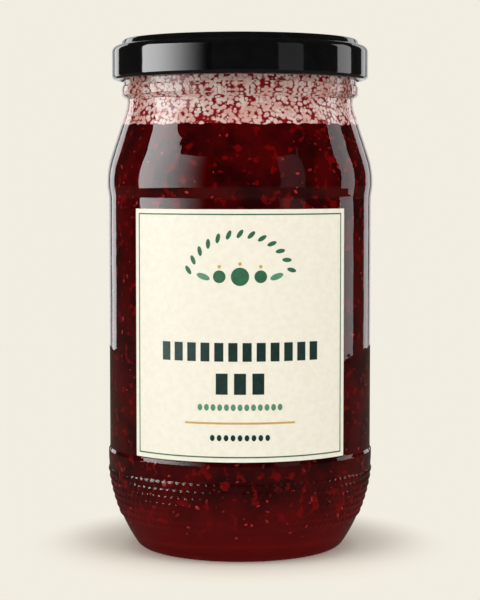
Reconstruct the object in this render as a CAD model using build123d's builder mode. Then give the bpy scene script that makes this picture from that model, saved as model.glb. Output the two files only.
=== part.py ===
"""A filled jam jar: a glass jar with a label panel and a ridged foot, its twist-off lid,
a paper label, the jam and the froth that lies on the jam.

Millimetres, +Z up. The origin is on the jar's axis, in the plane that it stands on,
and the label faces -Y.
"""

import os
from math import atan2, cos, degrees, radians, sin, sqrt, tan

from build123d import *

# Overall
jar_height = 135.0  # to the top of the lid's raised ring
panel_radius = 34.9  # upright stretch of the glass that carries the label

# Glass, outside
neck_inset = 4.9  # from the panel in to the neck
neck_height = 2.95  # from the collar down to where the shoulder's slope would start
neck_curve = 9.0
mouth_relief = 1.0  # from the neck out to the mouth
collar_relief = 1.45  # from the neck out to the bead below the lid
collar_height = 2.6
collar_flare = 1.1  # height of the slope under the bead
collar_step = 0.4  # height of the step from the bead in to the mouth
collar_gap = 1.5  # free height between the bead and the lid's hem
collar_rounding = 0.45
shoulder_relief = 0.43  # from the panel out to the shoulder
shoulder_slope = 18.2  # degrees from upright
shoulder_curve = 22.0
shoulder_band = 4.9  # height from the step to where the slope would start
shoulder_step = 2.8  # height of the step from the panel out to the shoulder
shoulder_easing = 5.0  # rounding at the panel's upper step
panel_bottom = 27.0
base_relief = 0.35  # from the panel out to the bulge above the foot
base_step = 0.8  # height of the step from the panel out to the bulge
base_band = 0.4  # height of the bulge's upright stretch
base_easing = 0.8  # rounding at the panel's lower step
base_curve = 43.5  # radius of the curve that draws the foot in
heel_curve = 4.5
bearing_width = 1.6  # ring that the jar stands on
push_up = 2.2  # height of the hollow under the foot

# Ridges round the foot
ridge_count = 7
ridge_pitch = 1.95  # along the curve
ridge_drop = 4.9  # from the bulge to the first ridge, along the curve
ridge_radius = 0.9
ridge_relief = 0.3

# Glass, inside
wall = 2.4
rim_width = 3.2
rim_rounding = 0.9
floor_thickness = 4.9
floor_corner = 9.0

# Lid
lid_height = 10.6
lid_sheet = 0.35
lid_shoulder = 1.7  # rounding between the ledge and the skirt
lid_hem = 1.1  # radius of the roll round the lower edge
hem_clearance = 0.8  # between the roll and the mouth
ring_rise = 1.6  # raised ring, above the ledge outside it
ring_inset = 2.2  # from the skirt to the ring's outer foot
ring_width = 4.2
ring_flank = 0.7  # width of each sloping side of the ring
ring_rounding = 0.75
middle_drop = 1.1  # from the raised ring down to the lid's middle
button_radius = 9.0
button_rise = 0.45
button_flank = 1.3
seat_margin = 1.2  # sealing face, past the mouth's inner edge

# Contents
fill_gap = 0.03
headroom = 7.55  # from the rim down to the froth
froth_depth = 13.2

# Label
label_width = 60.0  # round the jar
label_margin = 0.35  # from the panel's lower edge up to the label
label_headroom = 2.65  # from the label up to the panel's upper edge
label_paper = 0.14
label_gap = 0.02

# Radii and heights that follow from the sizes above
neck_radius = panel_radius - neck_inset
mouth_radius = neck_radius + mouth_relief
collar_radius = neck_radius + collar_relief
bore_radius = mouth_radius - rim_width
shoulder_radius = panel_radius + shoulder_relief
base_radius = panel_radius + base_relief
inner_radius = panel_radius - wall
lid_radius = mouth_radius + hem_clearance + 2 * lid_hem
slope_ratio = tan(radians(shoulder_slope))
ledge_height = jar_height - ring_rise
middle_height = jar_height - middle_drop
lid_foot = jar_height - lid_height
rim_height = ledge_height - lid_sheet
collar_top = lid_foot - collar_gap
collar_foot = collar_top - collar_height
slope_top = collar_foot - neck_height
slope_foot = slope_top - (shoulder_radius - neck_radius) / slope_ratio
panel_top = slope_foot - shoulder_band - shoulder_step
base_height = panel_bottom - base_step - base_band
base_centre = base_radius - base_curve
froth_level = rim_height - headroom
jam_level = froth_level - froth_depth


def foot_arcs(curve, corner, level):
    """Draws the wall's curve towards the foot and the corner that ends it, level with a floor."""
    corner_height = level + corner
    reach = sqrt((curve - corner) ** 2 - (base_height - corner_height) ** 2)
    turn = degrees(atan2(base_height - corner_height, reach))
    CenterArc((base_centre, base_height), curve, -turn, turn)
    CenterArc((base_centre + reach, corner_height), corner, -90, 90 - turn)
    return base_centre + reach


def inside_outline(gap, top):
    """Draws the inside of the glass, a gap smaller all round, from its floor to a height."""
    radius = inner_radius - gap
    bore = bore_radius - gap
    floor = floor_thickness + gap
    setback = neck_radius - (wall + gap) / cos(radians(shoulder_slope))
    slope_start = slope_top - (radius - setback) / slope_ratio
    slope_end = slope_top - (bore - setback) / slope_ratio
    floor_radius = foot_arcs(radius - base_centre, floor_corner - gap, floor)
    FilletPolyline(
        (radius, base_height),
        (radius, slope_start),
        (bore, slope_end),
        (bore, top),
        radius=(shoulder_curve - wall - gap, neck_curve + wall + gap),
    )
    Polyline((bore, top), (0, top), (0, floor), (floor_radius, floor))


# Jar
with BuildPart() as jar_glass:
    with BuildSketch(Plane.XZ):
        with BuildLine():
            bearing_outer = foot_arcs(base_curve, heel_curve, 0)
            bearing_inner = bearing_outer - bearing_width
            FilletPolyline(
                (base_radius, base_height),
                (base_radius, base_height + base_band),
                (panel_radius, panel_bottom),
                (panel_radius, panel_top),
                (shoulder_radius, panel_top + shoulder_step),
                (shoulder_radius, slope_foot),
                (neck_radius, slope_top),
                (neck_radius, collar_foot - collar_flare),
                (collar_radius, collar_foot),
                (collar_radius, collar_top - collar_step),
                (mouth_radius, collar_top),
                (mouth_radius, rim_height),
                radius=(
                    base_easing,
                    base_easing,
                    shoulder_easing,
                    shoulder_easing,
                    shoulder_curve,
                    neck_curve,
                    collar_rounding,
                    collar_rounding,
                    collar_rounding,
                    collar_rounding,
                ),
            )
            Polyline((mouth_radius, rim_height), (0, rim_height), (0, push_up))
            TangentArc((0, push_up), (bearing_inner, 0), tangent=(1, 0))
            Line((bearing_inner, 0), (bearing_outer, 0))
        make_face()
        for ridge in range(ridge_count):
            angle = -degrees((ridge_drop + ridge * ridge_pitch) / base_curve)
            reach = base_curve + ridge_relief - ridge_radius
            across = base_centre + reach * cos(radians(angle))
            up = base_height + reach * sin(radians(angle))
            with Locations((across, up)):
                Circle(ridge_radius)
    revolve(axis=Axis.Z)
    with BuildSketch(Plane.XZ):
        with BuildLine():
            inside_outline(0, rim_height)
        make_face()
    revolve(axis=Axis.Z, mode=Mode.SUBTRACT)
    fillet(jar_glass.faces().sort_by(Axis.Z)[-1].edges(), rim_rounding)
jar_glass.part.label = "jar_glass"

# Lid
ring_outer = lid_radius - ring_inset
ring_inner = ring_outer - ring_width
seat_inner = bore_radius - seat_margin
with BuildPart() as lid:
    with BuildSketch(Plane.XZ):
        with BuildLine():
            FilletPolyline(
                (0, middle_height + button_rise),
                (button_radius - button_flank, middle_height + button_rise),
                (button_radius, middle_height),
                (ring_inner, middle_height),
                (ring_inner + ring_flank, jar_height),
                (ring_outer - ring_flank, jar_height),
                (ring_outer, ledge_height),
                (lid_radius, ledge_height),
                (lid_radius, lid_foot + lid_hem),
                radius=(
                    button_flank,
                    button_flank,
                    lid_sheet,
                    ring_rounding,
                    ring_rounding,
                    lid_sheet,
                    lid_shoulder,
                ),
            )
            Polyline(
                (lid_radius, lid_foot + lid_hem),
                (0, lid_foot + lid_hem),
                (0, middle_height + button_rise),
            )
        make_face()
        with BuildLine():
            FilletPolyline(
                (0, middle_height - lid_sheet),
                (seat_inner, middle_height - lid_sheet),
                (seat_inner, rim_height),
                (lid_radius - lid_sheet, rim_height),
                (lid_radius - lid_sheet, lid_foot + lid_hem),
                radius=(0, 0, lid_shoulder - lid_sheet),
            )
            Polyline(
                (lid_radius - lid_sheet, lid_foot + lid_hem),
                (0, lid_foot + lid_hem),
                (0, middle_height - lid_sheet),
            )
        make_face(mode=Mode.SUBTRACT)
        with Locations((lid_radius - lid_hem, lid_foot + lid_hem)):
            Circle(lid_hem)
    revolve(axis=Axis.Z)
lid.part.label = "lid"

# Jam, and the froth on it
with BuildPart() as jam:
    with BuildSketch(Plane.XZ):
        with BuildLine():
            inside_outline(fill_gap, froth_level)
        make_face()
    revolve(axis=Axis.Z)
    split(bisect_by=Plane.XY.offset(jam_level), keep=Keep.BOTTOM)
jam.part.label = "jam"

with BuildPart() as froth:
    with BuildSketch(Plane.XZ):
        with BuildLine():
            inside_outline(fill_gap, froth_level)
        make_face()
    revolve(axis=Axis.Z)
    split(bisect_by=Plane.XY.offset(jam_level), keep=Keep.TOP)
froth.part.label = "froth"

# Label, centred on the -Y side
label_radius = panel_radius + label_gap
label_turn = degrees(label_width / label_radius)
label_foot = panel_bottom + label_margin
label_height = panel_top - label_headroom - label_foot
with BuildPart() as label:
    with BuildSketch(Plane.XZ.rotated((0, 0, -90 - label_turn / 2))):
        with Locations((label_radius + label_paper / 2, label_foot + label_height / 2)):
            Rectangle(label_paper, label_height)
    revolve(axis=Axis.Z, revolution_arc=label_turn)
label.part.label = "label"

os.makedirs("parts", exist_ok=True)
for piece in (jar_glass, lid, jam, froth, label):
    export_step(piece.part, f"parts/{piece.part.label}.step")
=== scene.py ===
"""The looks of a jam jar: clear glass, black twist-off lid, dark jam under pale froth, paper label."""

import logging
import random
from collections.abc import Callable, Sequence
from dataclasses import dataclass, field
from enum import Enum
from math import asin, atan2, ceil, cos, degrees, hypot, pi, radians, sin, sqrt, tan

import bmesh
import bpy
from mathutils import Matrix, Vector

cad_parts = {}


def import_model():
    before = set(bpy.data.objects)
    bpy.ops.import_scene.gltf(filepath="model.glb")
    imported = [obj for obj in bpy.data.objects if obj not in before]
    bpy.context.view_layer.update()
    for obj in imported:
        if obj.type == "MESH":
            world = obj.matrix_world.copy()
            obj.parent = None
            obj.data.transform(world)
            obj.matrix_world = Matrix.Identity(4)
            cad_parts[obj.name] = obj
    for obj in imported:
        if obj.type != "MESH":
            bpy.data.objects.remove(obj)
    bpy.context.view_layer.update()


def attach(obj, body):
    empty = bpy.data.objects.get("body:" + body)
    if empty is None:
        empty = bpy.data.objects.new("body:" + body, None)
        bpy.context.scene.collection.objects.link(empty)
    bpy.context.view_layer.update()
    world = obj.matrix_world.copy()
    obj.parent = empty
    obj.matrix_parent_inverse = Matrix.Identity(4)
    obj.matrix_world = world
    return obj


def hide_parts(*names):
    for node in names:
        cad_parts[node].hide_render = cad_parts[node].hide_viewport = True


LOG = logging.getLogger("jam_jar")
MM = 0.001
ROUND = 2.0 * pi
MERGE = 1e-7  # points this near, in metres, are one
SEED_OF_CHANCE = 7
MOTTLE_LOW, MOTTLE_HIGH = 0.32, 0.68  # the noise's levels that become 0 and 1

Colour = tuple[float, float, float]
Point = tuple[float, float]
Corner = tuple[float, float, float]


def shade(red: float, green: float, blue: float) -> Colour:
    """Turns a display colour, 0 to 255 a channel, into a linear one."""
    return tuple(
        ((c / 255 + 0.055) / 1.055) ** 2.4 if c > 10 else c / 255 / 12.92 for c in (red, green, blue)
    )


BACKGROUND = shade(242, 237, 225)


# Outlines and meshes


def rounded(corners: Sequence[Corner], turn: float = 8.0) -> list[Point]:
    """Rounds the corners of an outline.

    Args:
        corners: Radius, height and rounding of each corner, in millimetres.
        turn: The most that one facet of a rounding turns, in degrees.

    Returns:
        The outline's points, in millimetres.
    """
    points: list[Point] = []
    last = len(corners) - 1
    for i, (x, z, size) in enumerate(corners):
        if size == 0 or i in (0, last):
            points.append((x, z))
            continue
        here = Vector((x, z))
        back = (Vector(corners[i - 1][:2]) - here).normalized()
        ahead = (Vector(corners[i + 1][:2]) - here).normalized()
        bend = pi - back.angle(ahead)
        middle = here + (back + ahead).normalized() * (size / cos(bend / 2))
        start = here + back * (size * tan(bend / 2)) - middle
        end = here + ahead * (size * tan(bend / 2)) - middle
        first = atan2(start.y, start.x)
        sweep = (atan2(end.y, end.x) - first + pi) % ROUND - pi
        steps = max(1, ceil(degrees(abs(sweep)) / turn))
        for k in range(steps + 1):
            angle = first + sweep * k / steps
            points.append((middle.x + size * cos(angle), middle.y + size * sin(angle)))
    return points


def arc(middle: Point, radius: float, angles: Sequence[float]) -> list[Point]:
    """Points of a circle at the given angles, in degrees."""
    return [
        (middle[0] + radius * cos(radians(a)), middle[1] + radius * sin(radians(a))) for a in angles
    ]


def finish_mesh(name: str, bm: bmesh.types.BMesh, crease: float = 40.0) -> bpy.types.Object:
    """Turns a bmesh into an object with smooth faces and sharp creases.

    Args:
        name: The object's name.
        bm: The mesh, which is freed.
        crease: The angle between faces, in degrees, from which an edge is sharp.

    Returns:
        The object, at the origin.
    """
    mesh = bpy.data.meshes.new(name)
    bm.to_mesh(mesh)
    bm.free()
    mesh.polygons.foreach_set("use_smooth", [True] * len(mesh.polygons))
    mesh.set_sharp_from_angle(angle=radians(crease))
    piece = bpy.data.objects.new(name, mesh)
    bpy.context.scene.collection.objects.link(piece)
    return piece


def turned(outline: Sequence[Point], steps: int, loop: bool = False) -> bmesh.types.BMesh:
    """Turns an outline round the upright axis.

    Args:
        outline: Radius and height of each point, in millimetres.
        steps: How many facets there are round the axis.
        loop: Whether the last point joins the first.

    Returns:
        The closed mesh, in metres.
    """
    bm = bmesh.new()
    points = [bm.verts.new((x * MM, 0.0, z * MM)) for x, z in outline]
    for first, second in zip(points, points[1:]):
        bm.edges.new((first, second))
    if loop:
        bm.edges.new((points[-1], points[0]))
    bmesh.ops.spin(
        bm, geom=bm.verts[:] + bm.edges[:], cent=(0, 0, 0), axis=(0, 0, 1), angle=ROUND,
        steps=steps, use_merge=True,
    )
    bmesh.ops.remove_doubles(bm, verts=bm.verts[:], dist=MERGE)
    bmesh.ops.recalc_face_normals(bm, faces=bm.faces[:])
    return bm


def hand_over(piece: bpy.types.Object, node: str | None = None) -> None:
    """Hangs a piece on the root body and hides the CAD node that it replaces.

    Args:
        piece: The finished piece.
        node: The CAD node that the piece stands for, if any.
    """
    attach(piece, "root")
    if node:
        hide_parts(node)


# Finishes


class Wiring:
    """Adds and joins the nodes of one tree."""

    def __init__(self, tree: bpy.types.NodeTree) -> None:
        """Starts on an emptied tree."""
        tree.nodes.clear()
        self.tree = tree

    def add(self, kind: str, **settings: object) -> bpy.types.Node:
        """Adds a node and sets its options.

        Args:
            kind: The node's type.
            settings: Its options by name.

        Returns:
            The node.
        """
        node = self.tree.nodes.new(kind)
        for key, value in settings.items():
            setattr(node, key, value)
        return node

    def feed(self, socket: bpy.types.NodeSocket, term: object) -> None:
        """Joins a socket to another one, or sets its plain value.

        Args:
            socket: The input.
            term: An output to join to it, or its value.
        """
        if isinstance(term, bpy.types.NodeSocket):
            self.tree.links.new(term, socket)
        elif isinstance(term, tuple) and socket.type == "RGBA":
            socket.default_value = (*term, 1.0)
        else:
            socket.default_value = term

    def maths(self, operation: str, *terms: object) -> bpy.types.NodeSocket:
        """Adds a sum.

        Args:
            operation: What the sum does.
            terms: Its one or two terms.

        Returns:
            The result.
        """
        node = self.add("ShaderNodeMath", operation=operation)
        for socket, term in zip(node.inputs, terms):
            self.feed(socket, term)
        return node.outputs[0]

    def ease(self, value: object, low: float, high: float) -> bpy.types.NodeSocket:
        """Adds a soft step.

        Args:
            value: What is read.
            low: Where the step is 0.
            high: Where the step is 1.

        Returns:
            The step's value.
        """
        node = self.add("ShaderNodeMapRange", interpolation_type="SMOOTHSTEP")
        self.feed(node.inputs["Value"], value)
        node.inputs["From Min"].default_value = low
        node.inputs["From Max"].default_value = high
        return node.outputs["Result"]

    def blend(self, mask: object, first: object, second: object) -> bpy.types.NodeSocket:
        """Adds a mix of two colours.

        Args:
            mask: How much there is of the second.
            first: One colour.
            second: The other.

        Returns:
            The colour between them.
        """
        node = self.add("ShaderNodeMix", data_type="RGBA")
        self.feed(node.inputs[0], mask)
        self.feed(node.inputs[6], first)
        self.feed(node.inputs[7], second)
        return node.outputs[2]

    def mottle(self, place: bpy.types.NodeSocket, scale: float) -> bpy.types.NodeSocket:
        """Adds the shared soft noise.

        Args:
            place: Where it is read.
            scale: How fine it is, per metre.

        Returns:
            The noise, from 0 to 1.
        """
        node = self.add("ShaderNodeGroup", node_tree=mottle_group())
        self.feed(node.inputs["Vector"], place)
        node.inputs["Scale"].default_value = scale
        return node.outputs["Mask"]


def mottle_group() -> bpy.types.NodeTree:
    """Makes the soft noise that the finishes share, once.

    Returns:
        The node group, with a mask from 0 to 1.
    """
    group = bpy.data.node_groups.get("mottle")
    if group is not None:
        return group
    group = bpy.data.node_groups.new("mottle", "ShaderNodeTree")
    group.interface.new_socket("Vector", in_out="INPUT", socket_type="NodeSocketVector")
    group.interface.new_socket("Scale", in_out="INPUT", socket_type="NodeSocketFloat")
    group.interface.new_socket("Mask", in_out="OUTPUT", socket_type="NodeSocketFloat")
    wires = Wiring(group)
    enter, leave = wires.add("NodeGroupInput"), wires.add("NodeGroupOutput")
    noise = wires.add("ShaderNodeTexNoise")
    noise.inputs["Detail"].default_value = 4.0
    wires.feed(noise.inputs["Vector"], enter.outputs["Vector"])
    wires.feed(noise.inputs["Scale"], enter.outputs["Scale"])
    wires.feed(leave.inputs["Mask"], wires.ease(noise.outputs[0], MOTTLE_LOW, MOTTLE_HIGH))
    return group


@dataclass(frozen=True)
class Finish:
    """A finish whose colour drifts between two shades; relief is in millimetres."""

    name: str
    dark: Colour
    light: Colour
    grain: float
    rough: float
    index: float = 1.5
    specular: float = 0.5
    relief: float = 0.0

    def colour(self, wires: Wiring, place: bpy.types.NodeSocket) -> bpy.types.NodeSocket:
        """The colour at a place."""
        return wires.blend(wires.mottle(place, self.grain), self.dark, self.light)

    def surface(self, wires: Wiring, shader: bpy.types.Node) -> bpy.types.NodeSocket:
        """What the output shows."""
        return shader.outputs[0]

    def build(self) -> bpy.types.Material:
        """Makes the material.

        Returns:
            The material.
        """
        material = bpy.data.materials.new(self.name)
        material.use_nodes = True
        wires = Wiring(material.node_tree)
        place = wires.add("ShaderNodeTexCoord").outputs["Object"]
        shader = wires.add("ShaderNodeBsdfPrincipled")
        wires.feed(shader.inputs["Base Color"], self.colour(wires, place))
        shader.inputs["Roughness"].default_value = self.rough
        shader.inputs["IOR"].default_value = self.index
        shader.inputs["Specular IOR Level"].default_value = self.specular
        if self.relief:
            bump = wires.add("ShaderNodeBump")
            bump.inputs["Distance"].default_value = self.relief * MM
            wires.feed(bump.inputs["Height"], wires.mottle(place, self.grain))
            wires.feed(shader.inputs["Normal"], bump.outputs[0])
        leave = wires.add("ShaderNodeOutputMaterial")
        wires.feed(leave.inputs["Surface"], self.surface(wires, shader))
        return material


@dataclass(frozen=True)
class GlassFinish(Finish):
    """Clear glass that lets lamps through to what it holds."""

    def surface(self, wires: Wiring, shader: bpy.types.Node) -> bpy.types.NodeSocket:
        """Mixes in a clear shader for rays from lamps.

        Args:
            wires: The material's nodes.
            shader: Its Principled node.

        Returns:
            What the output shows.
        """
        shader.inputs["Transmission Weight"].default_value = 1.0
        mix = wires.add("ShaderNodeMixShader")
        wires.feed(mix.inputs[0], wires.add("ShaderNodeLightPath").outputs["Is Shadow Ray"])
        wires.feed(mix.inputs[1], shader.outputs[0])
        wires.feed(mix.inputs[2], wires.add("ShaderNodeBsdfTransparent").outputs[0])
        return mix.outputs[0]


@dataclass(frozen=True)
class JamFinish(Finish):
    """Dark jam with paler pulp, and a painted glow: a redder foot that stands in for light coming through.
    """

    pulp: Colour = shade(118, 4, 6)
    # painted light: this redder colour at the foot stands in for light shining through the jam
    foot: Colour = shade(122, 10, 12)
    painted_glow_height: float = 20.0
    pulp_finer: float = 3.1
    pulp_from: float = 0.8
    pulp_full: float = 1.0

    def colour(self, wires: Wiring, place: bpy.types.NodeSocket) -> bpy.types.NodeSocket:
        """The colour at a place.

        Args:
            wires: The material's nodes.
            place: Where the colour is read.

        Returns:
            The colour.
        """
        body = wires.blend(wires.mottle(place, self.grain), self.dark, self.light)
        bits = wires.mottle(place, self.grain * self.pulp_finer)
        bits = wires.ease(bits, self.pulp_from, self.pulp_full)
        body = wires.blend(bits, body, self.pulp)
        # Painted light: the jam turns redder towards its foot, where light shining through it is painted in
        split = wires.add("ShaderNodeSeparateXYZ")
        wires.feed(split.inputs[0], place)
        low = wires.maths("SUBTRACT", 1.0, wires.ease(split.outputs["Z"], 0.0, self.painted_glow_height * MM))
        return wires.blend(low, body, self.foot)


@dataclass(frozen=True)
class FrothFinish(Finish):
    """Fine bubbles: pale cells with dark gaps between some of them."""

    gap: Colour = shade(150, 24, 34)
    cells: float = 950.0
    gap_from: float = 0.46
    gap_full: float = 0.68

    def colour(self, wires: Wiring, place: bpy.types.NodeSocket) -> bpy.types.NodeSocket:
        """The colour at a place.

        Args:
            wires: The material's nodes.
            place: Where the colour is read.

        Returns:
            The colour.
        """
        cell = wires.add("ShaderNodeTexVoronoi", feature="F1")
        wires.feed(cell.inputs["Vector"], place)
        cell.inputs["Scale"].default_value = self.cells
        body = wires.blend(wires.mottle(place, self.grain), self.dark, self.light)
        gaps = wires.ease(cell.outputs["Distance"], self.gap_from, self.gap_full)
        return wires.blend(gaps, body, self.gap)


GLASS = GlassFinish("clear_glass", shade(249, 252, 250), shade(255, 255, 255), 60, 0.0, relief=0.03)
LACQUER = Finish("lid_lacquer", shade(7, 7, 8), shade(12, 12, 13), 300, 0.06, 1.7, relief=0.004)
JAM = JamFinish("jam", shade(42, 0, 2), shade(80, 2, 4), 130, 0.5, specular=0.0)
SEED = Finish("jam_seed", shade(95, 6, 12), shade(205, 45, 50), 420, 0.5, specular=0.1)
FROTH = FrothFinish("froth", shade(240, 186, 178), shade(255, 240, 236), 260, 0.5, specular=0.0)
BUBBLE = Finish("froth_bubble", shade(246, 206, 200), shade(255, 250, 247), 500, 0.4, specular=0.1)
PAPER = Finish("label_paper", shade(243, 240, 227), shade(248, 246, 235), 700, 0.6, relief=0.01)


# The jar and what is in it


@dataclass
class Jar:
    """The glass and its two fillings; sizes in millimetres."""

    panel: float = 34.9
    shoulder: float = 35.33
    base: float = 35.25
    neck: float = 30.0
    mouth: float = 31.0
    collar: float = 31.45
    bore: float = 27.8
    inner: float = 32.5
    rim: float = 133.05
    base_height: float = 25.8
    base_curve: float = 43.5
    heel: float = 4.5
    bearing: float = 1.6
    push_up: float = 2.2
    floor: float = 4.9
    floor_corner: float = 9.0
    lean: float = tan(radians(18.2))
    step_easing: float = 5.0
    panel_top: float = 93.44
    shoulder_foot: float = 96.24
    slope_foot: float = 101.14
    shoulder_curve: float = 22.0
    slope_top: float = 117.35
    neck_curve: float = 9.0
    neck_top: float = 119.2
    collar_foot: float = 120.3
    collar_top: float = 122.5
    collar_rounding: float = 0.45
    mouth_foot: float = 122.9
    rim_foot: float = 127.05
    rim_rounding: float = 0.9
    inner_shoulder: float = 19.6
    inner_neck: float = 11.4
    inner_foot: float = 102.06
    inner_top: float = 116.36
    jam_top: float = 112.9
    froth_foot: float = 112.0
    froth_top: float = 125.5
    bead_rows: int = 7
    beads: int = 108
    bead_pitch: float = 1.95
    bead_start: float = 4.9
    bead_radius: float = 0.95
    bead_relief: float = 0.36
    rings_a_row: int = 6
    dash_low: float = 0.25
    dash_high: float = 1.5
    dash_relief: float = 0.1
    jam_reach: float = 0.2
    froth_reach: float = 0.26
    froth_neck: float = 11.1
    steps: int = 432

    def base_middle(self) -> Point:
        """The middle of the base's big curve."""
        return self.base - self.base_curve, self.base_height

    def outer(self) -> list[Point]:
        """Draws the outside of the glass.

        Returns:
            Its points, from the middle of the foot up to the collar.
        """
        middle = self.base_middle()
        drop = asin((self.base_height - self.heel) / (self.base_curve - self.heel))
        heel_x = middle[0] + (self.base_curve - self.heel) * cos(drop)
        points = rounded([
            (0, self.push_up, 0), (19.5, self.push_up - 0.3, 6), (heel_x - self.bearing, 0, 1),
            (heel_x, 0, 0),
        ])
        sweep = [-90 + (90 - degrees(drop)) * k / 10 for k in range(1, 10)]
        points += arc((heel_x, self.heel), self.heel, sweep)
        length, fine = drop * self.base_curve, self.bead_pitch / self.rings_a_row
        count, above = int(length / fine), int(self.bead_start / fine)
        lengths = [self.bead_start + fine * (k - above) for k in range(count + 1)]
        lengths = [s for s in lengths if 0.05 < s < length] + [0.0]
        lengths.sort(reverse=True)
        points += arc(middle, self.base_curve, [-degrees(s / self.base_curve) for s in lengths])
        return points + rounded([
            (self.base, self.base_height + 0.1, 0), (self.base, self.base_height + 0.4, 0.3),
            (self.panel, self.base_height + 1.2, 0.8), (self.panel, self.panel_top, self.step_easing),
            (self.shoulder, self.shoulder_foot, self.step_easing),
            (self.shoulder, self.slope_foot, self.shoulder_curve),
            (self.neck, self.slope_top, self.neck_curve), (self.neck, self.neck_top, self.collar_rounding),
            (self.collar, self.collar_foot, self.collar_rounding),
            (self.collar, self.collar_top, self.collar_rounding), (self.mouth, self.mouth_foot, 0),
        ], 4.0)

    def inside(self) -> list[Point]:
        """The rim and the inside of the glass, down to the middle of the floor."""
        return rounded([
            (self.mouth, self.rim_foot, 0), (self.mouth, self.rim, self.rim_rounding),
            (self.bore, self.rim, self.rim_rounding), (self.bore, self.inner_top, self.inner_neck),
            (self.inner, self.inner_foot, self.inner_shoulder),
            (self.inner, self.floor, self.floor_corner), (0, self.floor, 0),
        ], 4.0)

    def wall(self, height: float) -> float:
        """Finds the inside wall.

        Args:
            height: Where it is measured.

        Returns:
            The wall's radius there.
        """
        corner = self.floor + self.floor_corner
        if height < corner:
            fall = min(corner - height, self.floor_corner)
            return self.inner - self.floor_corner + sqrt(self.floor_corner**2 - fall**2)
        slope = self.inner - (height - self.inner_foot) * self.lean
        return max(self.bore, min(self.inner, slope))

    def raise_beads(self, bm: bmesh.types.BMesh) -> None:
        """Lifts staggered rows of beads out of the base's curve, and dashes out of the heel.

        Args:
            bm: The glass, in metres.
        """
        mid_x, mid_z = self.base_middle()
        heel_x = mid_x + sqrt((self.base_curve - self.heel) ** 2 - (self.base_height - self.heel) ** 2)
        for vert in bm.verts:
            radius, height = hypot(vert.co.x, vert.co.y) / MM, vert.co.z / MM
            angle = atan2(vert.co.y, vert.co.x) / ROUND
            way = Vector((radius - mid_x, height - mid_z))
            lift = 0.0
            if abs(way.length - self.base_curve) < 0.01 and height < self.base_height:
                along = self.base_curve * asin(-way.y / self.base_curve)
                row = round((along - self.bead_start) / self.bead_pitch)
                if 0 <= row < self.bead_rows:
                    down = along - self.bead_start - row * self.bead_pitch
                    step = angle * self.beads + 0.5 * (row % 2)
                    across = (step - round(step)) * ROUND * radius / self.beads
                    spread = (down**2 + across**2) / self.bead_radius**2
                    lift = self.bead_relief * max(0.0, 1.0 - spread)
            elif abs(hypot(radius - heel_x, height - self.heel) - self.heel) < 0.01 and radius > heel_x:
                way = Vector((radius - heel_x, height - self.heel))
                if self.dash_low < height < self.dash_high:
                    lift = self.dash_relief * max(0.0, cos(angle * ROUND * self.beads))
            if lift:
                way.normalize()
                grow = (radius + lift * way.x) / radius
                vert.co = (vert.co.x * grow, vert.co.y * grow, vert.co.z + lift * way.y * MM)

    def build_glass(self) -> bpy.types.Object:
        """Makes the glass, one closed wall.

        Returns:
            The piece.
        """
        bm = turned(self.outer() + self.inside(), self.steps)
        self.raise_beads(bm)
        piece = finish_mesh("glass_jar", bm)
        hand_over(piece, "jar_glass")
        return piece

    def build_jam(self) -> bpy.types.Object:
        """Makes the jam, which reaches just into the wall.

        Returns:
            The piece.
        """
        reach = self.jam_reach
        top = self.wall(self.jam_top) + reach
        bm = turned(rounded([
            (0, self.floor - reach, 0), (self.inner + reach, self.floor - reach, self.floor_corner + reach),
            (self.inner + reach, self.inner_foot, self.inner_shoulder - reach),
            (top, self.jam_top, 0), (0, self.jam_top, 0),
        ], 4.0), 180)
        piece = finish_mesh("jam_fill", bm)
        hand_over(piece, "jam")
        return piece

    def build_froth(self, rng: random.Random) -> bpy.types.Object:
        """Makes the froth, whose lower edge wanders along the wall.

        Args:
            rng: Where the wandering comes from.

        Returns:
            The piece.
        """
        reach = self.froth_reach
        foot = self.wall(self.froth_foot) + reach
        bm = turned(rounded([
            (0, self.froth_foot, 0), (foot, self.froth_foot, 0),
            (self.bore + reach, self.inner_top, self.froth_neck), (self.bore + reach, self.froth_top, 0.8),
            (0, self.froth_top, 0),
        ], 4.0), 360)
        waves = [(n, rng.uniform(0, ROUND), rng.uniform(0.05, 0.16)) for n in (7, 13, 22, 37, 61, 90)]
        for vert in bm.verts:
            if abs(vert.co.z / MM - self.froth_foot) < 0.01 and hypot(vert.co.x, vert.co.y) > 0.029:
                angle = atan2(vert.co.y, vert.co.x)
                rise = sum(size * sin(n * angle + start) for n, start, size in waves)
                shrink = 1 - rise * self.lean / foot
                vert.co = (vert.co.x * shrink, vert.co.y * shrink, vert.co.z + rise * MM)
        piece = finish_mesh("froth_fill", bm)
        hand_over(piece, "froth")
        return piece

    def dress(self, glass: bpy.types.Object, jam: bpy.types.Object, froth: bpy.types.Object) -> None:
        """Gives the three pieces their finishes."""
        for piece, finish in ((glass, GLASS), (jam, JAM), (froth, FROTH)):
            piece.data.materials.append(finish.build())


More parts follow.
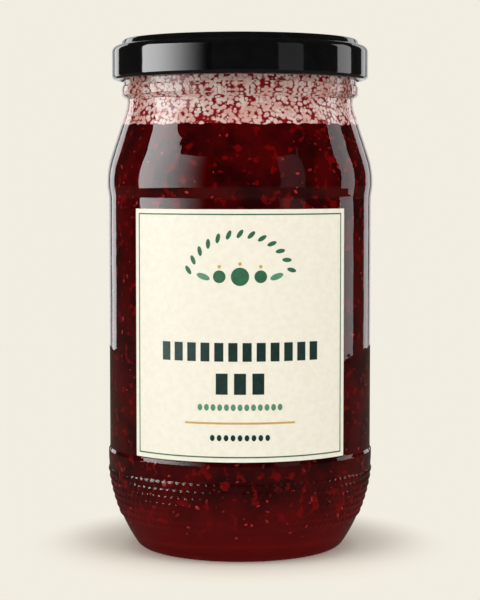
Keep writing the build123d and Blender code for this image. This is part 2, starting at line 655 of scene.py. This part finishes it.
@dataclass
class Scatter:
    """Small things pressed against the inside wall; sizes in millimetres."""

    name: str
    slot: str
    finish: Finish
    count: int
    low: float
    high: float
    small: float
    large: float
    longer: float
    depth: float
    sink: float

    def build(self, wall: Callable[[float], float], rng: random.Random) -> bpy.types.Object:
        """Makes all of them as one mesh.

        Args:
            wall: The radius of the inside wall at a height.
            rng: Where places and sizes come from.

        Returns:
            The piece.
        """
        bm = bmesh.new()
        single = bpy.data.meshes.new("single")
        for _ in range(self.count):
            height, size = rng.uniform(self.low, self.high), rng.uniform(self.small, self.large)
            place = (
                Matrix.Rotation(rng.uniform(0, ROUND), 4, "Z")
                @ Matrix.Translation(((wall(height) + self.sink) * MM, 0, height * MM))
                @ Matrix.Rotation(rng.uniform(0, pi), 4, "X")
                @ Matrix.Diagonal((self.depth, size * self.longer, size, 1.0))
            )
            one = bmesh.new()
            bmesh.ops.create_icosphere(one, subdivisions=2, radius=MM, matrix=place)
            one.to_mesh(single)
            one.free()
            bm.from_mesh(single)
        bpy.data.meshes.remove(single)
        piece = finish_mesh(self.name, bm, 80.0)
        piece.data.materials.append(self.finish.build())
        hand_over(piece)
        return piece


SEEDS = Scatter("jam_seeds", "jam", SEED, 620, 7, 110.5, 0.16, 0.42, 1.7, 0.28, 0.08)
BUBBLES = Scatter("froth_bubbles", "froth", BUBBLE, 900, 112.8, 124.5, 0.2, 0.55, 1.0, 0.25, 0.14)


# The lid


@dataclass
class Lid:
    """The pressed lid; sizes in millimetres."""

    radius: float = 34.0
    ledge: float = 133.4
    middle: float = 133.9
    top: float = 135.0
    button: float = 9.0
    button_rise: float = 0.45
    ring_in: float = 27.6
    ring_out: float = 31.8
    shoulder: float = 1.7
    hem: float = 1.1
    hem_height: float = 125.5
    sheet: float = 0.35

    def outline(self) -> list[Point]:
        """Draws the sheet's outline.

        Returns:
            Its points, from the middle of the top round the hem and back under it.
        """
        s = self.sheet
        inner = self.radius - s
        over = rounded([
            (0, self.middle + self.button_rise, 0), (self.button, self.middle + self.button_rise, 1.2),
            (self.button + 1.3, self.middle, 1.2), (self.ring_in, self.middle, 0.5),
            (self.ring_in + 0.7, self.top, 0.75), (self.ring_out - 0.7, self.top, 0.75),
            (self.ring_out, self.ledge, 0.3), (self.radius, self.ledge, self.shoulder),
            (self.radius, self.hem_height + 0.2, 0),
        ])
        lift = degrees(asin(sqrt(1 - ((inner - self.radius + self.hem) / self.hem) ** 2)))
        roll = [-(360 - lift) * k / 26 for k in range(27)]
        hem = arc((self.radius - self.hem, self.hem_height), self.hem, roll)
        under = rounded([
            (inner, self.hem_height + 1.3, 0), (inner, self.ledge - s, self.shoulder - s),
            (0, self.ledge - s, 0),
        ])
        return over + hem + under

    def build(self) -> bpy.types.Object:
        """Makes and dresses the lid.

        Returns:
            The piece.
        """
        piece = finish_mesh("twist_lid", turned(self.outline(), 256))
        piece.data.materials.append(LACQUER.build())
        hand_over(piece, "lid")
        return piece


# The label and its print


class Ink(Enum):
    """The inks, as a piece's name and a display colour."""

    GREEN = ("print_green", (42, 102, 72))
    DARK = ("print_dark", (14, 48, 43))
    PALE = ("print_pale", (84, 142, 112))
    GOLD = ("print_gold", (205, 165, 85))


@dataclass
class Artwork:
    """Flat shapes of each ink, in millimetres, in the plane of x and z."""

    sheets: dict[Ink, bmesh.types.BMesh] = field(
        default_factory=lambda: {ink: bmesh.new() for ink in Ink}
    )
    arch_radius: float = 14.2
    arch_middle: float = 70.5
    arch_step: float = 11.5
    arch_leaves: int = 13
    fruit_height: float = 74.0
    rows: tuple[float, ...] = (55.1, 47.1, 41.2, 37.2, 33.5)

    def patch(self, ink: Ink, x: float, z: float, wide: float, tall: float, sides: int, turn: float) -> None:
        """Adds a flat shape.

        Args:
            ink: Its ink.
            x: Its middle, across the label.
            z: Its middle's height.
            wide: Its width before it is turned.
            tall: Its height before it is turned.
            sides: 4 for a bar, or more for a dot or a leaf.
            turn: How far it is turned, in degrees.
        """
        radius, start = (sqrt(0.5), pi / 4) if sides == 4 else (0.5, 0.0)
        place = (
            Matrix.Translation((x, 0, z)) @ Matrix.Rotation(radians(turn), 4, "Y")
            @ Matrix.Rotation(pi / 2, 4, "X") @ Matrix.Diagonal((wide, tall, 1, 1))
            @ Matrix.Rotation(start, 4, "Z")
        )
        bmesh.ops.create_circle(
            self.sheets[ink], cap_ends=True, segments=sides, radius=radius, matrix=place
        )

    def bar(self, ink: Ink, x: float, z: float, wide: float, tall: float) -> None:
        """Adds a plain bar."""
        self.patch(ink, x, z, wide, tall, 4, 0)

    def dot(self, ink: Ink, x: float, z: float, wide: float, tall: float, sides: int = 12) -> None:
        """Adds a round or oval dot."""
        self.patch(ink, x, z, wide, tall, sides, 0)

    def leaf(self, ink: Ink, x: float, z: float, wide: float, tall: float, turn: float) -> None:
        """Adds a turned leaf."""
        self.patch(ink, x, z, wide, tall, 14, turn)

    def draw_motif(self) -> None:
        """Draws round fruits between leaves, under an arch of small leaves."""
        half, level = self.arch_leaves // 2, self.fruit_height
        for k in range(-half, half + 1):
            turn = k * self.arch_step
            x = self.arch_radius * sin(radians(turn))
            z = self.arch_middle + self.arch_radius * cos(radians(turn))
            self.leaf(Ink.GREEN, x, z, 1.1, 2.5, turn + 35)
        for x, size in ((0, 4.6), (-5.2, 3.2), (5.2, 3.2)):
            self.dot(Ink.GREEN, x, level, size, size, 18)
            self.dot(Ink.GOLD, x, level + size / 2 + 0.9, 0.9, 0.9)
        for side in (-1, 1):
            self.leaf(Ink.PALE, side * 9.3, level, 3.6, 1.5, side * -20)

    def draw_fields(self) -> None:
        """Draws rows of plain bars and dots, from the top down."""
        broad, short, pale, rule, small = self.rows
        for k in range(12):
            self.bar(Ink.DARK, (k - 5.5) * 3.55, broad, 2.3, 4.7)
        for k in (-1, 0, 1):
            self.bar(Ink.DARK, k * 4.6, short, 3.0, 5.3)
        for k in range(13):
            self.dot(Ink.PALE, (k - 6) * 1.7, pale, 1.25, 1.7)
        self.bar(Ink.GOLD, 0, rule, 28.4, 0.5)
        for k in range(9):
            self.dot(Ink.DARK, (k - 4) * 1.75, small, 1.2, 1.6)


@dataclass
class Label:
    """The paper on the panel and its plain print; sizes in millimetres."""

    width: float = 60.0
    foot: float = 27.35
    top: float = 90.79
    back: float = 34.92
    face: float = 35.06
    ink: float = 0.03
    border_inset: float = 1.1
    border: float = 0.33
    sunk: float = 0.01
    bends: int = 120

    def build_paper(self) -> bpy.types.Object:
        """Makes and dresses the bent sheet of paper.

        Returns:
            The piece.
        """
        bm = bmesh.new()
        half = self.width / 2 / self.back
        corners = (
            (self.back, self.foot), (self.face, self.foot), (self.face, self.top), (self.back, self.top)
        )
        turn = Matrix.Rotation(-pi / 2 - half, 4, "Z")
        points = [bm.verts.new(turn @ Vector((x * MM, 0, z * MM))) for x, z in corners]
        for k, point in enumerate(points):
            bm.edges.new((point, points[(k + 1) % len(points)]))
        bmesh.ops.spin(
            bm, geom=bm.verts[:] + bm.edges[:], cent=(0, 0, 0), axis=(0, 0, 1), angle=2 * half,
            steps=self.bends,
        )
        bmesh.ops.remove_doubles(bm, verts=bm.verts[:], dist=MERGE)
        bmesh.ops.holes_fill(bm, edges=bm.edges[:], sides=4)
        bmesh.ops.recalc_face_normals(bm, faces=bm.faces[:])
        piece = finish_mesh("paper_label", bm)
        piece.data.materials.append(PAPER.build())
        hand_over(piece, "label")
        return piece

    def build_print(self) -> list[bpy.types.Object]:
        """Makes the print.

        Returns:
            One piece for each ink.
        """
        art = Artwork()
        self.draw_border(art)
        art.draw_motif()
        art.draw_fields()
        return [self.bend(ink, bm) for ink, bm in art.sheets.items()]

    def draw_border(self, art: "Artwork") -> None:
        """Draws a thin line round the label.

        Args:
            art: Where it is drawn.
        """
        middle, tall = (self.foot + self.top) / 2, self.top - self.foot - 2 * self.border_inset
        wide = self.width - 2 * self.border_inset
        for side in (-1, 1):
            art.bar(Ink.GREEN, side * (wide - self.border) / 2, middle, self.border, tall)
            level = middle + side * (tall - self.border) / 2
            art.bar(Ink.GREEN, 0, level, wide - 2 * self.border, self.border)

    def bend(self, ink: Ink, bm: bmesh.types.BMesh) -> bpy.types.Object:
        """Gives one ink its thickness and bends it round the paper.

        Args:
            ink: Which ink it is.
            bm: Its flat shapes, in millimetres, in the plane of x and z.

        Returns:
            The piece.
        """
        for x in range(-int(self.width / 2), int(self.width / 2) + 1):
            everything = bm.verts[:] + bm.edges[:] + bm.faces[:]
            bmesh.ops.bisect_plane(bm, geom=everything, plane_co=(x, 0, 0), plane_no=(1, 0, 0))
        grown = bmesh.ops.extrude_face_region(bm, geom=bm.faces[:])["geom"]
        raised = [v for v in grown if isinstance(v, bmesh.types.BMVert)]
        bmesh.ops.translate(bm, verts=raised, vec=(0, -self.ink - self.sunk, 0))
        bmesh.ops.recalc_face_normals(bm, faces=bm.faces[:])
        for vert in bm.verts:
            radius, angle = self.face - self.sunk - vert.co.y, vert.co.x / self.face
            vert.co = (radius * sin(angle) * MM, -radius * cos(angle) * MM, vert.co.z * MM)
        name, colour = ink.value
        piece = finish_mesh(name, bm, 30.0)
        dark, light = shade(*colour), shade(*(min(255, c + 10) for c in colour))
        piece.data.materials.append(Finish(name, dark, light, 900, 0.5).build())
        hand_over(piece)
        return piece


# The studio


@dataclass(frozen=True)
class Card:
    """A tall bent card that only reflections show; azimuths in degrees from the front."""

    name: str
    start: float
    end: float
    glow: float
    fade: tuple[float, float] | None = None
    radius: float = 0.6
    low: float = 0.0
    high: float = 0.45

    def build(self) -> bpy.types.Object:
        """Makes the card and its glow.

        Returns:
            The card.
        """
        bm = bmesh.new()
        turn = Matrix.Rotation(radians(self.start), 4, "Z")
        ends = [bm.verts.new(turn @ Vector((0, -self.radius, z))) for z in (self.low, self.high)]
        bm.edges.new(ends)
        bmesh.ops.spin(
            bm, geom=bm.verts[:] + bm.edges[:], cent=(0, 0, 0), axis=(0, 0, 1),
            angle=radians(self.end - self.start), steps=24,
        )
        piece = finish_mesh(self.name, bm)
        material = bpy.data.materials.new(self.name)
        material.use_nodes = True
        wires = Wiring(material.node_tree)
        light = wires.add("ShaderNodeEmission")
        light.inputs["Strength"].default_value = self.glow
        if self.fade:
            split = wires.add("ShaderNodeSeparateXYZ")
            wires.feed(split.inputs[0], wires.add("ShaderNodeTexCoord").outputs["Object"])
            ahead = wires.maths("MULTIPLY", split.outputs["Y"], -1.0)
            angle = wires.maths("ARCTAN2", split.outputs["X"], ahead)
            gone = wires.ease(angle, radians(self.fade[0]), radians(self.fade[1]))
            wires.feed(
                light.inputs["Strength"],
                wires.maths("MULTIPLY", wires.maths("SUBTRACT", 1.0, gone), self.glow),
            )
        wires.feed(wires.add("ShaderNodeOutputMaterial").inputs["Surface"], light.outputs[0])
        piece.data.materials.append(material)
        piece.visible_camera = piece.visible_diffuse = piece.visible_shadow = False
        piece.visible_transmission = piece.visible_volume_scatter = False
        return piece


@dataclass(frozen=True)
class Lamp:
    """A soft square lamp aimed at the jar; angles in degrees, power in watts."""

    name: str
    azimuth: float
    height: float
    power: float
    size: float = 0.7
    distance: float = 0.9

    def build(self, target: Vector) -> bpy.types.Object:
        """Makes the lamp.

        Args:
            target: The point it is aimed at.

        Returns:
            The lamp.
        """
        data = bpy.data.lights.new(self.name, "AREA")
        data.energy, data.size = self.power, self.size
        lamp = bpy.data.objects.new(self.name, data)
        flat, rise = radians(self.azimuth), radians(self.height)
        way = Vector((sin(flat) * cos(rise), -cos(flat) * cos(rise), sin(rise)))
        lamp.location = target + way * self.distance
        lamp.rotation_euler = way.to_track_quat("Z", "Y").to_euler()
        lamp.visible_glossy = lamp.visible_transmission = lamp.visible_camera = False
        bpy.context.scene.collection.objects.link(lamp)
        return lamp


@dataclass
class Studio:
    """The floor, cards, lamps, backdrop and camera; lengths in metres."""

    cards: tuple[Card, ...] = (
        Card("card_left", -94, -24, 6.0, (-82, -27)),
        Card("card_left_strip", -150, -136, 1.9),
        Card("card_right_strip", 94, 114, 1.6),
        Card("card_right_weak", 33, 56, 0.25),
        Card("card_right_back", 136, 150, 1.3),
        Card("card_back", 154, 206, 0.85),
    )
    lamps: tuple[Lamp, ...] = (
        Lamp("lamp_left", -55, 30, 3.7), Lamp("lamp_right", 50, 35, 3.5), Lamp("lamp_top", 0, 82, 3.0),
    )
    fill: float = 0.35
    gloss: float = 0.03
    dim: Colour = (0.10, 0.09, 0.08)
    near: float = 0.034
    far: float = 0.058
    lens: float = 109.8
    eye: tuple[float, float, float] = (0.0, -0.490, 0.0988)
    tilt: float = 3.845
    target: tuple[float, float, float] = (0.0, 0.0, 0.06)
    floor_radius: float = 4.0

    def build_floor(self) -> None:
        """Makes the floor, which meets the backdrop's colour a little way from the jar."""
        bm = bmesh.new()
        bmesh.ops.create_circle(bm, cap_ends=True, segments=96, radius=self.floor_radius)
        floor = finish_mesh("floor", bm)
        material = bpy.data.materials.new("floor")
        material.use_nodes = True
        wires = Wiring(material.node_tree)
        place = wires.add("ShaderNodeTexCoord").outputs["Object"]
        matt = wires.add("ShaderNodeBsdfDiffuse")
        path = wires.add("ShaderNodeLightPath")
        wires.feed(matt.inputs["Color"], wires.blend(path.outputs["Is Glossy Ray"], BACKGROUND, self.dim))
        plain = wires.add("ShaderNodeEmission")
        wires.feed(plain.inputs["Color"], BACKGROUND)
        reach = wires.add("ShaderNodeVectorMath", operation="LENGTH")
        wires.feed(reach.inputs[0], place)
        seen = wires.ease(reach.outputs["Value"], self.near, self.far)
        seen = wires.maths("MULTIPLY", seen, path.outputs["Is Camera Ray"])
        mask = wires.maths("MAXIMUM", seen, path.outputs["Is Transmission Ray"])
        mix = wires.add("ShaderNodeMixShader")
        for socket, term in zip(mix.inputs, (mask, matt.outputs[0], plain.outputs[0])):
            wires.feed(socket, term)
        wires.feed(wires.add("ShaderNodeOutputMaterial").inputs["Surface"], mix.outputs[0])
        floor.data.materials.append(material)

    def build_world(self) -> None:
        """Makes the backdrop: its full colour where it is seen, less where it lights or reflects."""
        world = bpy.data.worlds.new("backdrop")
        bpy.context.scene.world = world
        world.use_nodes = True
        wires = Wiring(world.node_tree)
        path = wires.add("ShaderNodeLightPath")
        seen = wires.maths("MAXIMUM", path.outputs["Is Camera Ray"], path.outputs["Is Transmission Ray"])
        shine = wires.maths("MULTIPLY", path.outputs["Is Glossy Ray"], self.gloss - self.fill)
        other = wires.maths("ADD", shine, self.fill)
        back = wires.add("ShaderNodeBackground")
        wires.feed(back.inputs["Color"], BACKGROUND)
        wires.feed(back.inputs["Strength"], wires.maths("MAXIMUM", seen, other))
        wires.feed(wires.add("ShaderNodeOutputWorld").inputs["Surface"], back.outputs[0])

    def build_camera(self) -> None:
        """Makes the camera."""
        data = bpy.data.cameras.new("camera")
        data.lens = self.lens
        camera = bpy.data.objects.new("camera", data)
        camera.location = self.eye
        camera.rotation_euler = (radians(90 - self.tilt), 0, 0)
        bpy.context.scene.collection.objects.link(camera)
        bpy.context.scene.camera = camera

    def build(self) -> None:
        """Makes everything round the jar."""
        self.build_floor()
        self.build_world()
        self.build_camera()
        for card in self.cards:
            card.build()
        for lamp in self.lamps:
            lamp.build(Vector(self.target))
        bpy.context.scene.view_settings.view_transform = "Standard"


def main() -> None:
    """Builds the pieces in order and reports each."""
    logging.basicConfig(level=logging.INFO, format="%(name)s: %(message)s")
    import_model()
    rng = random.Random(SEED_OF_CHANCE)
    jar = Jar()
    glass, jam, froth = jar.build_glass(), jar.build_jam(), jar.build_froth(rng)
    jar.dress(glass, jam, froth)
    label = Label()
    pieces = [
        glass, jam, froth, SEEDS.build(jar.wall, rng), BUBBLES.build(jar.wall, rng), Lid().build(),
        label.build_paper(), *label.build_print(),
    ]
    for piece in pieces:
        LOG.info("%s: %d faces", piece.name, len(piece.data.polygons))
    Studio().build()


if __name__ == "__main__":
    main()
